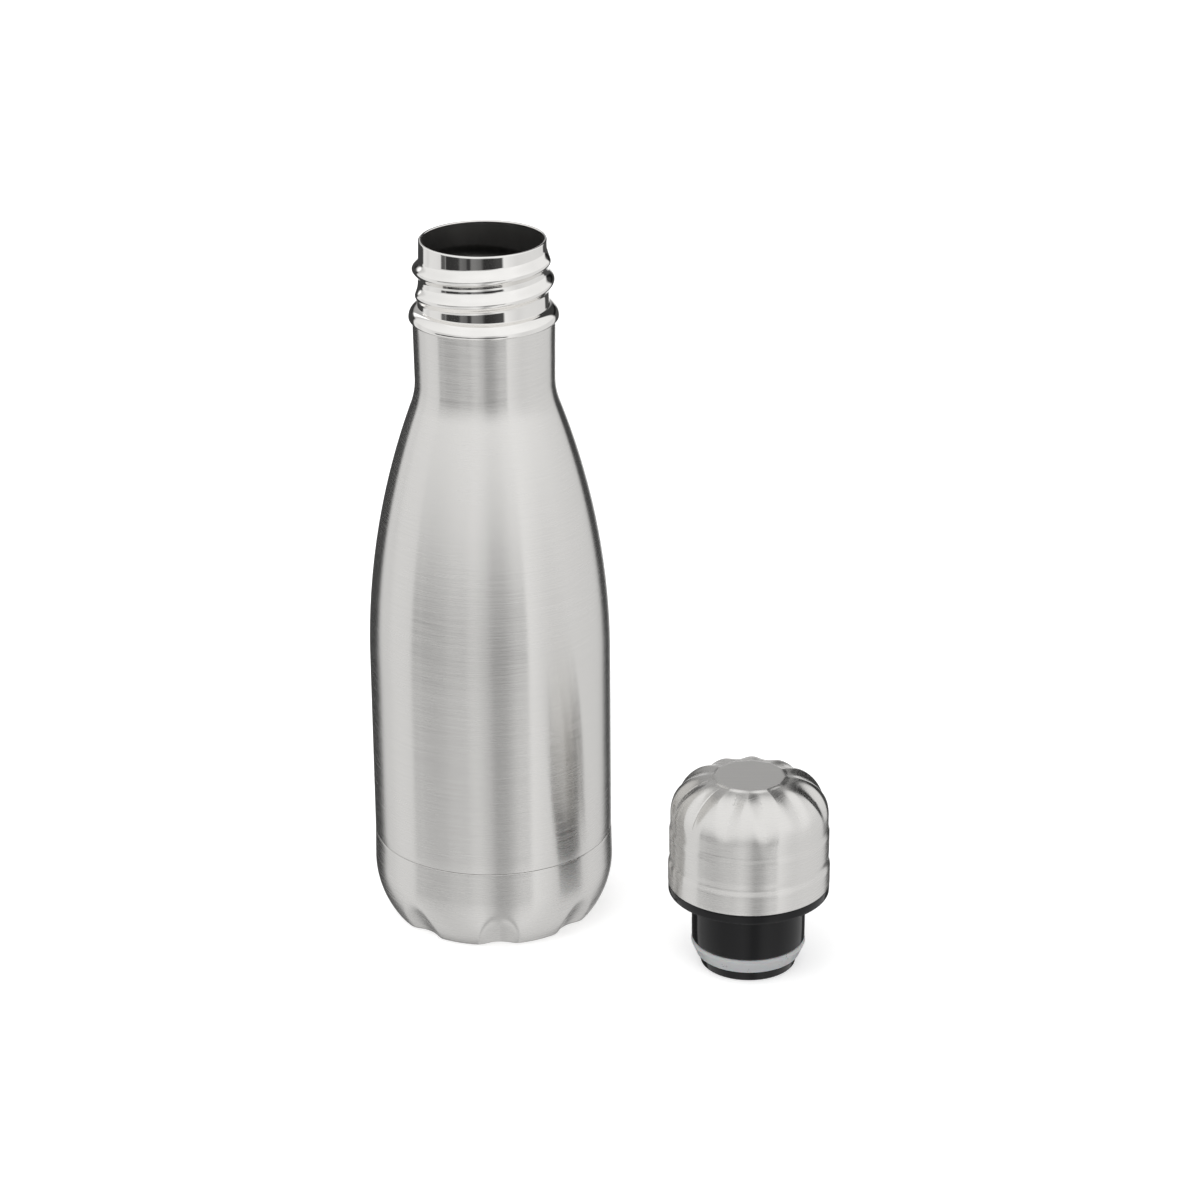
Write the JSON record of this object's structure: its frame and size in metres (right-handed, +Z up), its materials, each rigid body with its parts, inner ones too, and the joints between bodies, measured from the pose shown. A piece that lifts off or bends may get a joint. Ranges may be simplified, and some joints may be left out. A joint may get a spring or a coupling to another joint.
{
  "type": "insulated water bottle",
  "caption": "Slim double-walled steel vacuum bottle with a threaded mouth, a scalloped base cup and a fluted screw cap that stands beside it.",
  "frame": {"origin": "on the bottle's own axis, on the floor under its base cup", "axes": "+Z up along the bottle's axis, -Y towards the viewer of the picture; the cap stands at +X, -Y"},
  "size_m": [0.1232, 0.0893, 0.1913],
  "materials": {
    "brushed_steel": "fine horizontal brushing",
    "polished_steel": "mirror-polished stainless steel",
    "liner_steel": "satin stainless steel",
    "foil": "bright foil",
    "solder_glass": "fused solder glass",
    "getter": "pressed getter metal, dull",
    "black_plastic": "glossy moulded plastic",
    "foam": "closed-cell foam",
    "silicone": "translucent silicone"
  },
  "bodies": {
    "bottle": {"outer_shell": "brushed_steel", "base_cup": "brushed_steel", "inner_liner": "polished_steel", "liner_bottom": "liner_steel", "reflective_foil": "foil", "vacuum_base_plate": "liner_steel", "vacuum_seal": "solder_glass", "getter_tray": "liner_steel", "getter_pill": "getter"},
    "seal": {"seal_ring": "silicone"},
    "cap": {"cap_shell": "brushed_steel", "cap_insert": "black_plastic", "stopper_body": "black_plastic", "stopper_end_cap": "black_plastic", "stopper_foam_core": "foam"}
  },
  "joints": [
    {"name": "cap_lift", "type": "slide", "parent": "bottle", "child": "seal", "axis": [0, 0, 1], "range_m": [0, 0.25]},
    {"name": "cap_turn", "type": "hinge", "parent": "seal", "child": "cap", "pos_m": [0.0691, -0.0352, 0], "axis": [0, 0, 1], "continuous": true}
  ]
}
